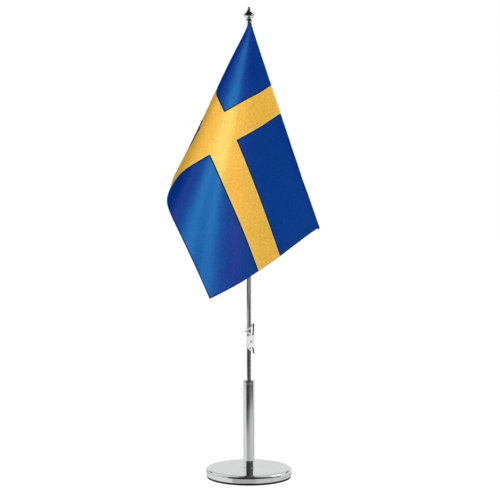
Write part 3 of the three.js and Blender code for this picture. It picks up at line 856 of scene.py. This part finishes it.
def make_hem():
    """The sewn sleeve: the cloth folded back round the cord, with a row of stitches."""
    low, high = node_size("hoist_sleeve")
    x, y = cord_line()
    wall, reach = 0.22, 1.0
    opening, wrap = math.radians(62), math.radians(236)
    seam = Vector((CORNER[0] - 2.6, CORNER[1] + 0.42))
    centre = Vector((x, y))
    tail = seam - centre
    toward = math.atan2(tail.y, tail.x)
    outer, inner = [], []
    for k in range(25):
        a = toward + opening + wrap * k / 24
        outer.append(centre + Vector((math.cos(a), math.sin(a))) * (reach + wall))
        inner.append(centre + Vector((math.cos(a), math.sin(a))) * reach)
    outer = [seam] + outer
    inner = [seam + (centre - seam) * 0.12] + inner

    bm = bmesh.new()
    flat = bm.loops.layers.uv.new("flat")
    levels = np.linspace(high.z, low.z, 101)
    drops = CORNER[2] - levels
    sides = []
    for shape in (outer, inner):
        sides.append([[bm.verts.new((p.x, p.y, z)) for p in shape] for z in levels])
    count = len(outer)

    def add(corners, row):
        face = bm.faces.new(corners)
        middle = (drops[row] + drops[min(row + 1, len(drops) - 1)]) / 2
        face.material_index = 1 if CROSS_V[0] < middle < CROSS_V[1] else 0
        for loop in face.loops:
            loop[flat].uv = (0.002 + loop.vert.co.x * MM * 0.2,
                             (CORNER[2] - loop.vert.co.z) * MM)

    for grid in sides:
        for row in range(len(levels) - 1):
            for k in range(count):
                j = (k + 1) % count
                add([grid[row][k], grid[row][j], grid[row + 1][j], grid[row + 1][k]], row)
    for row in (0, len(levels) - 1):
        for k in range(count):
            j = (k + 1) % count
            add([sides[0][row][k], sides[0][row][j], sides[1][row][j], sides[1][row][k]], row)
    hem = finish_mesh("hoist_hem", bm, sharp_angle=50)
    for material in (BLUE, YELLOW):
        hem.data.materials.append(material)
    place_piece(hem, "flag", "satin", "hoist_sleeve")

    bm = bmesh.new()
    pitch = 2.6
    along = (seam - centre).normalized()
    side = Vector((-along.y, along.x))
    spot = centre + along * 1.75
    for face_side in (-1, 1):
        for i in range(int((high.z - low.z - 3) / pitch)):
            z = high.z - 2 - i * pitch
            middle = spot + side * face_side * 0.62
            made = bmesh.ops.create_uvsphere(bm, u_segments=8, v_segments=6, radius=1.0)
            for vert in made["verts"]:
                vert.co = Vector((middle.x + vert.co.x * 0.16, middle.y + vert.co.y * 0.16,
                                  z + vert.co.z * 0.85))
    stitches = finish_mesh("hem_stitches", bm)
    place_piece(stitches, "flag", "satin", material=THREAD)


# ---- Stage ---------------------------------------------------------------------------------

FLOOR_RADIUS = 400000       # far enough to fill the picture


def make_floor():
    bm = bmesh.new()
    bmesh.ops.create_circle(bm, cap_ends=True, segments=96, radius=FLOOR_RADIUS)
    floor = finish_mesh("floor", bm)
    material, shader, principled, place = new_material("pale_floor")
    grain = shader.noise(place, 300, detail=3.0)
    shader.feed(principled.inputs["Base Color"],
                shader.mix(grain, (0.33, 0.33, 0.33, 1), (0.38, 0.38, 0.38, 1)))
    principled.inputs["Roughness"].default_value = 0.9
    principled.inputs["Specular IOR Level"].default_value = 0.1
    principled.inputs["Emission Color"].default_value = (1, 1, 1, 1)
    principled.inputs["Emission Strength"].default_value = 0.95
    dress(floor, material)
    floor.visible_glossy = False


# What the polished metal sees of the studio, in degrees: azimuth from the camera's side,
# positive to its right, then elevation, then how soft the patch's edges are, then its level.
# A later patch covers an earlier one.
STUDIO = [
    (-200, 200, 34, 100, 4.0, 0.02),        # dark ceiling
    (-150, 150, 15, 100, 3.0, 0.02),        # dark ceiling in front and at the sides
    (-46, 30, -90, -10.9, 1.2, 0.54),       # table in front
    (20, 200, -90, -10.3, 2.0, 0.72),       # table to the right
    (-200, -130, -12, 3, 2.0, 0.50),        # backdrop's left end
    (-58, -8, -11.2, 40, 1.0, 0.045),       # dark room behind the camera
    (-12, 20, -10.95, 40, 1.0, 0.06),
    (14, 93, -10.6, 15, 0.9, 0.10),         # dark room to the right
    (18, 42, -10.6, -5, 1.5, 0.24),         # camera's stand
    (-118, -50, -10.0, -6.4, 0.6, 0.17),    # shade on the left wall
    (-50, 40, -8.0, -7.3, 0.4, 0.34),       # lit far edge of the table
    (-118, -12, -8.75, -8.2, 0.3, 0.66),
    (0, 50, -8.75, -8.05, 0.3, 0.05),       # shade on the table's right
    (-114, -50, -8.1, -7.2, 0.3, 0.06),
    (50, 114, -8.8, -7.2, 0.4, 0.40),       # lit wall to the right
    (78, 106, 24, 50, 2.5, 1.8),            # soft box at the upper right
    (-130, 130, -90, -28, 3.0, 0.95),       # bright floor beside the stand
    (-26, 26, -90, -28, 4.0, 0.03),         # shade under the camera
]


STUDIO_LEVEL = 0.8      # how bright the studio is as a light and in the metal


def make_world():
    """The studio as the metal and the cloth see it. The camera itself sees plain white."""
    world = bpy.data.worlds.new("studio")
    bpy.context.scene.world = world
    world.use_nodes = True
    tree = world.node_tree
    tree.nodes.clear()
    shader = Shader(tree)
    direction = shader.node("ShaderNodeTexCoord").outputs["Generated"]
    part = shader.node("ShaderNodeSeparateXYZ")
    shader.feed(part.inputs[0], direction)
    x, y, z = part.outputs
    azimuth = shader.math("MULTIPLY", shader.math("ARCTAN2", x, shader.math("MULTIPLY", y, -1.0)),
                          180 / math.pi)
    elevation = shader.math("MULTIPLY", shader.math("ARCSINE", z), 180 / math.pi)
    level = shader.remap(elevation, -20, 80, 0.93, 0.88)
    for az_low, az_high, el_low, el_high, soft, value in STUDIO:
        mask = shader.smoothstep(azimuth, az_low - 3 * soft, az_low + 3 * soft)
        mask = shader.math("MULTIPLY", mask, shader.math(
            "SUBTRACT", 1.0, shader.smoothstep(azimuth, az_high - 3 * soft, az_high + 3 * soft)))
        mask = shader.math("MULTIPLY", mask, shader.smoothstep(
            elevation, el_low - 0.4 * soft, el_low + 0.4 * soft))
        mask = shader.math("MULTIPLY", mask, shader.math("SUBTRACT", 1.0, shader.smoothstep(
            elevation, el_high - 0.4 * soft, el_high + 0.4 * soft)))
        level = shader.math("ADD", shader.math("MULTIPLY", level,
                                               shader.math("SUBTRACT", 1.0, mask)),
                            shader.math("MULTIPLY", mask, value))
    seen = shader.node("ShaderNodeLightPath").outputs["Is Camera Ray"]
    hidden = shader.math("MULTIPLY", shader.math("SUBTRACT", 1.0, seen), STUDIO_LEVEL)
    strength = shader.math("ADD", shader.math("MULTIPLY", level, hidden), seen)
    background = shader.node("ShaderNodeBackground")
    background.inputs["Color"].default_value = (1, 1, 1, 1)
    shader.feed(background.inputs["Strength"], strength)
    output = shader.node("ShaderNodeOutputWorld")
    tree.links.new(background.outputs[0], output.inputs[0])


def soft_light(name, place, aim, size, power):
    data = bpy.data.lights.new(name, "AREA")
    data.shape = "DISK"
    data.size = size
    data.energy = power
    light = bpy.data.objects.new(name, data)
    light.location = place
    light.rotation_mode = "QUATERNION"
    light.rotation_quaternion = (Vector(aim) - Vector(place)).to_track_quat("-Z", "Y")
    bpy.context.scene.collection.objects.link(light)
    return light


def shine_on(light, names):
    """Limits a light to some of the pieces."""
    lit = bpy.data.collections.new(light.name + "_lit")
    for name in names:
        lit.objects.link(bpy.data.objects[name])
    light.light_linking.receiver_collection = lit


def make_lights():
    """The key and the fill light everything but aren't mirrored in the metal. The satin's blue
    and rose shine and the base's bright flanks have lights of their own."""
    for name, place, aim_height, size, power in (
            ("key", (0.9, -1.5, 1.5), 0.1, 0.8, 26),
            ("fill", (-1.3, -1.1, 1.1), 0.15, 0.9, 7)):
        light = soft_light(name, place, (0, 0, aim_height), size, power)
        light.visible_glossy = False
    for name, place, power, colour in (
            ("satin_light", (0.08, -1.48, 0.88), 7.8, (1.0, 1.0, 1.0)),
            ("rose_light", (-0.95, -1.17, 0.88), 5.5, (1.0, 0.05, 0.12))):
        light = soft_light(name, place, (0, -0.05, 0.28), 0.3, power)
        light.data.color = colour
        light.visible_diffuse = False
        shine_on(light, ("flag_satin", "hoist_hem", "hem_stitches"))
    for side in (-1, 1):
        light = soft_light("rim_light", (side * 0.92, 0.25, 1.15), (0, 0, 0.01), 2.0, 7)
        shine_on(light, ("base_cover_spun",))


def make_camera():
    """The photo's view. Its distance is assumed; its height, tilt and lens are fitted to it."""
    data = bpy.data.cameras.new("camera")
    data.sensor_width = 36
    data.lens = 163.2
    camera = bpy.data.objects.new("camera", data)
    camera.location = (0.0009, -2.0, 0.441)
    camera.rotation_euler = (math.radians(90 - 6.727), 0, 0)
    bpy.context.scene.collection.objects.link(camera)
    bpy.context.scene.camera = camera


# ---- Build ---------------------------------------------------------------------------------

for node, material in (("base_weight", IRON), ("base_screw", ZINC), ("base_washer", ZINC),
                       ("tube_plug", ZINC), ("finial_stud", ZINC), ("socket_liner", NYLON)):
    dress(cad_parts[node], material)

make_base()
make_socket()
make_pole()
make_finial()
make_ring()
make_cleat()
make_halyard()
make_hitch()
make_flag()
make_hem()

make_floor()
make_world()
make_lights()
make_camera()

view = bpy.context.scene.view_settings
view.view_transform = "Standard"
view.look = "None"
